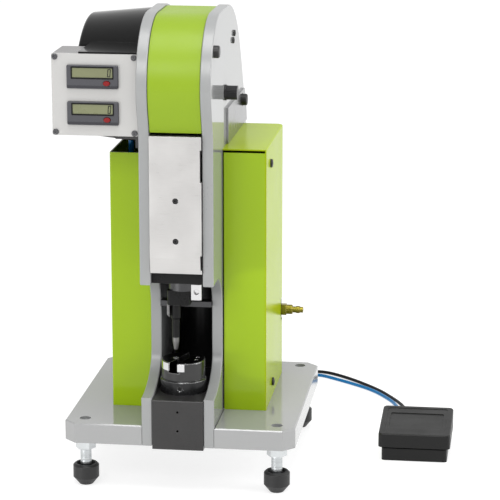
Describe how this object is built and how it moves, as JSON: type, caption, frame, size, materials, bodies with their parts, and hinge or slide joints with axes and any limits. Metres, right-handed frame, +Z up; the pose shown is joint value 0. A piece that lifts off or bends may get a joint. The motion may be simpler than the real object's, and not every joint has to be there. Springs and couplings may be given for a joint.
{
  "type": "rivet punch tool",
  "caption": "Bench-top pneumatic rivet punch with twin cheek plates, curved head cover, ram over a turntable die, counter box, side boxes, levelling feet and hose-linked foot pedal.",
  "frame": {"origin": "middle of the footprint of the machine and its pedal together, on the table", "axes": "+X to the right as seen from the operator's side, +Y back from the operator, +Z up along the punch axis"},
  "size_m": [0.4135, 0.4818, 0.51],
  "materials": {
    "grey_paint": "gloss",
    "green_paint": "satin",
    "brushed_plate": "brushed",
    "black_steel": "satin black oxide",
    "ground_steel": "ground",
    "chrome": "polished",
    "black_anodised": "black anodised",
    "black_gloss": "gloss",
    "bezel_grey": "matte",
    "button_red": "gloss",
    "brass": "turned",
    "fitting_steel": "nickel plated",
    "zinc": "zinc plated",
    "pad_rubber": "matte",
    "pedal_plastic": "fine grain",
    "hose_black": "satin",
    "hose_blue": "satin"
  },
  "bodies": {
    "frame": {"base_plate": "grey_paint", "left_cheek": "grey_paint", "right_cheek": "grey_paint", "counter_box": "grey_paint", "counter_lid": "grey_paint", "head_cover": "green_paint", "rear_panel": "green_paint", "left_box": "green_paint", "right_box": "green_paint", "right_box_panel": "green_paint", "front_plate": "brushed_plate", "bearing_plate": "brushed_plate", "die_block": "black_steel", "die_ring": "black_steel", "tie_rod_front": "black_steel", "tie_rod_rear": "black_steel", "ram_guide": "black_steel", "counter_bracket": "black_steel", "side_screws": "black_steel", "control_valve": "black_steel", "guide_bar": "ground_steel", "ball_plunger": "ground_steel", "pivot_shaft": "ground_steel", "treadle_pin": "ground_steel", "treadle_spring": "ground_steel", "cylinder": "black_anodised", "hopper_hood": "black_gloss", "counter_upper": "bezel_grey", "counter_lower": "bezel_grey", "air_nipple": "brass", "hose_fitting_black": "fitting_steel", "hose_fitting_blue": "fitting_steel", "foot_studs": "zinc", "foot_nuts": "zinc", "front_plate_screws": "zinc", "lid_screws": "zinc", "foot_pad_front_left": "pad_rubber", "foot_pad_front_right": "pad_rubber", "foot_pad_back_left": "pad_rubber", "foot_pad_back_right": "pad_rubber", "pedal_base": "pedal_plastic", "pedal_gland": "pedal_plastic", "foot_valve": "pedal_plastic", "hose_black": "hose_black", "hose_blue": "hose_blue", "inner_hose": "hose_blue"},
    "ram_slide_body": {"ram": "ground_steel", "punch_holder": "black_steel", "punch": "black_steel", "punch_pin": "ground_steel", "tool_clamp": "chrome"},
    "lever_body": {"lever": "ground_steel"},
    "piston_body": {"piston_rod": "ground_steel", "piston": "ground_steel"},
    "turntable_body": {"turntable": "ground_steel", "die_insert": "ground_steel"},
    "upper_button": {"reset_button_upper": "button_red"},
    "lower_button": {"reset_button_lower": "button_red"},
    "knob": {"adjust_knob": "black_anodised"},
    "pedal_treadle": {"treadle": "pedal_plastic"}
  },
  "joints": [
    {"name": "ram_stroke", "type": "slide", "parent": "frame", "child": "ram_slide_body", "axis": [0, 0, -1], "range_m": [0, 0.008], "stiffness_N_per_m": 600, "springref_m": -0.06},
    {"name": "lever_swing", "type": "hinge", "parent": "frame", "child": "lever_body", "pos_m": [-0.078, -0.007, 0.3755], "axis": [1, 0, 0], "range_deg": [0, 6.03]},
    {"name": "piston_stroke", "type": "slide", "parent": "frame", "child": "piston_body", "axis": [0, 0, 1], "range_m": [0, 0.00632]},
    {"name": "turntable_turn", "type": "hinge", "parent": "frame", "child": "turntable_body", "pos_m": [-0.078, -0.083, 0.118], "axis": [0, 0, 1], "continuous": true},
    {"name": "upper_reset", "type": "slide", "parent": "frame", "child": "upper_button", "axis": [0, 1, 0], "range_m": [0, 0.001], "stiffness_N_per_m": 300, "springref_m": -0.001},
    {"name": "lower_reset", "type": "slide", "parent": "frame", "child": "lower_button", "axis": [0, 1, 0], "range_m": [0, 0.001], "stiffness_N_per_m": 300, "springref_m": -0.001},
    {"name": "knob_turn", "type": "hinge", "parent": "frame", "child": "knob", "pos_m": [-0.0389, -0.035, 0.4198], "axis": [1, 0, 0], "continuous": true},
    {"name": "treadle_press", "type": "hinge", "parent": "frame", "child": "pedal_treadle", "pos_m": [0.1662, 0.022, 0.023], "axis": [-1, 0, 0], "range_deg": [0, 2.7], "stiffness_Nm_per_rad": 3, "springref_deg": -8.59, "deforming": ["treadle_spring"]}
  ],
  "couplings": [
    {"joint": "lever_swing", "follows": "ram_stroke", "rad_per_m": 13.146},
    {"joint": "piston_stroke", "follows": "ram_stroke", "ratio": 0.78947}
  ]
}
